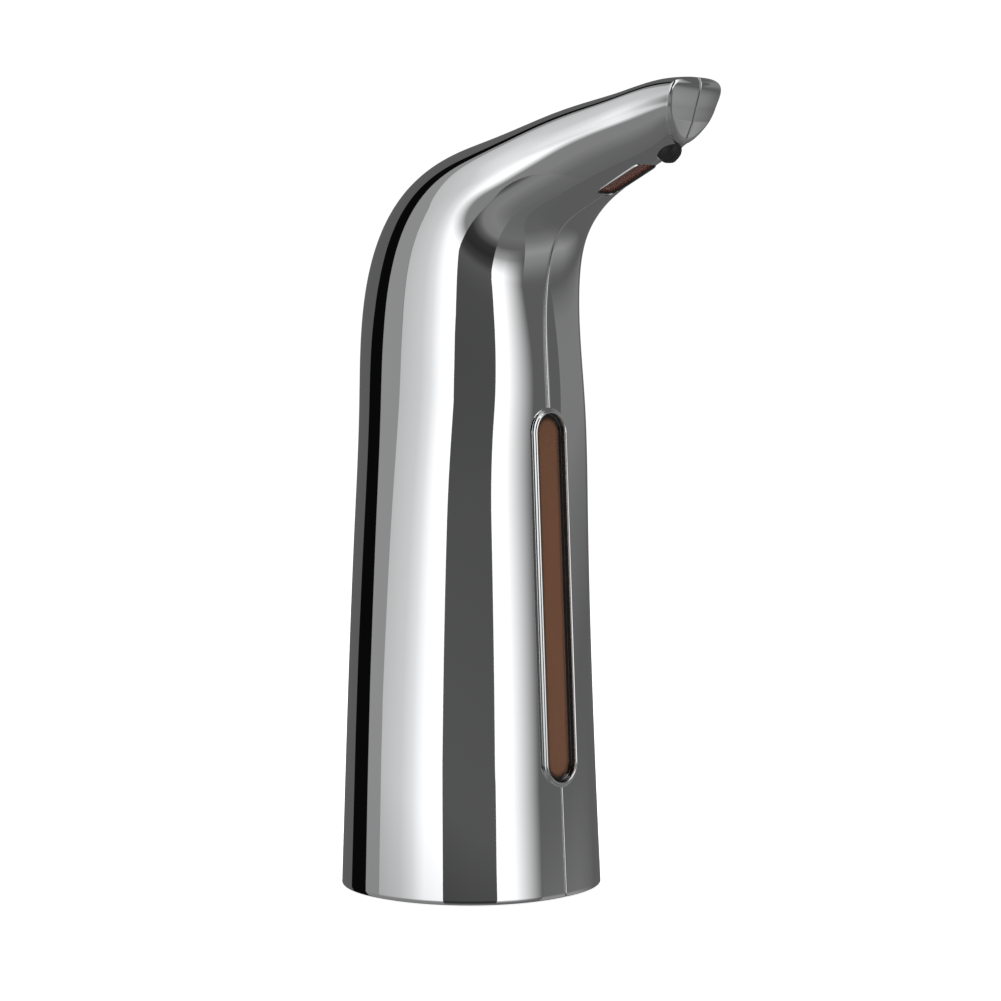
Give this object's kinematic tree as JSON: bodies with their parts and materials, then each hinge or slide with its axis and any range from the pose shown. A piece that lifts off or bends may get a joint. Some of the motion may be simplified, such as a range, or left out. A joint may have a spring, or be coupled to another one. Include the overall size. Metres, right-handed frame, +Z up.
{
  "type": "automatic soap dispenser",
  "caption": "Free-standing chrome touch-free soap dispenser with an arched spout, level window, inner tank, gear pump and battery base.",
  "frame": {"origin": "centre of the rest face under the base", "axes": "+Z up, -Y towards the spout's front, +X to the right seen from the front"},
  "size_m": [0.0796, 0.1299, 0.2437],
  "materials": {
    "chrome_case": "mirror-bright chrome plating on moulded ABS",
    "chrome_trim": "bright chrome plating",
    "smoked_lens": "translucent smoked brown, polished",
    "black_plastic": "fine matt black moulding",
    "black_rubber": "matt black rubber",
    "natural_plastic": "milky translucent polypropylene",
    "white_plastic": "white acetal moulding",
    "silicone": "translucent silicone rubber",
    "steel": "zinc-plated steel",
    "brass": "bright brass",
    "magnet": "dark ferrite",
    "board_green": "green solder mask on glass-fibre board",
    "cell_wrap": "dark painted steel can",
    "clear_lens": "dark clear epoxy",
    "cable_sheath": "black PVC insulation"
  },
  "bodies": {
    "case": {"right_case_shell": "chrome_case", "left_case_shell": "chrome_case", "window_bezel": "chrome_trim", "level_window": "smoked_lens", "sensor_frame": "black_plastic", "sensor_lens": "smoked_lens", "sensor_board": "board_green", "ir_emitter": "clear_lens", "ir_receiver": "clear_lens", "status_led": "clear_lens", "outlet_nozzle": "black_rubber", "check_valve": "silicone", "nozzle_seat": "white_plastic", "outlet_hose": "silicone", "sensor_cable": "cable_sheath", "motor_leads": "cable_sheath", "battery_leads": "cable_sheath", "tank_body": "natural_plastic", "tank_seal": "silicone", "tank_lid": "natural_plastic", "dip_tube": "silicone", "tank_filter": "white_plastic", "filler_neck": "natural_plastic", "filler_gasket": "black_rubber", "pump_housing": "white_plastic", "pump_cover": "white_plastic", "driven_pin": "steel", "pump_screws": "steel", "motor_can": "steel", "motor_endcap": "white_plastic", "motor_magnets": "magnet", "motor_bracket": "steel", "control_board": "board_green", "board_parts": "black_plastic", "battery_cells": "cell_wrap", "contact_plates": "steel", "contact_springs": "steel", "battery_tray": "black_plastic", "tray_screws": "steel", "base_plate": "black_plastic", "base_screws": "steel", "rest_ring": "black_rubber", "power_switch": "black_plastic"},
    "rotor": {"motor_shaft": "steel", "motor_rotor": "brass", "drive_gear": "white_plastic"},
    "driven": {"driven_gear": "white_plastic"},
    "cap": {"filler_cap": "chrome_case"},
    "door": {"battery_cover": "black_plastic"},
    "knob": {"switch_knob": "white_plastic"}
  },
  "joints": [
    {"name": "filler_cap_turn", "type": "hinge", "parent": "case", "child": "cap", "pos_m": [0, 0.0208, 0.2084], "axis": [0, 0.848, 0.5299], "range_deg": [0, 120]},
    {"name": "battery_door_swing", "type": "hinge", "parent": "case", "child": "door", "pos_m": [0, 0.0257, 0.00245], "axis": [1, 0, 0], "range_deg": [0, 100]},
    {"name": "power_switch_slide", "type": "slide", "parent": "case", "child": "knob", "axis": [0, 1, 0], "range_m": [0, 0.0025]},
    {"name": "pump_drive_spin", "type": "hinge", "parent": "case", "child": "rotor", "pos_m": [0, -0.009, 0.16], "axis": [0, 0, 1], "continuous": true},
    {"name": "pump_driven_spin", "type": "hinge", "parent": "case", "child": "driven", "pos_m": [0, -0.0186, 0.158], "axis": [0, 0, 1], "continuous": true}
  ],
  "couplings": [
    {"joint": "pump_driven_spin", "follows": "pump_drive_spin", "ratio": -1}
  ]
}
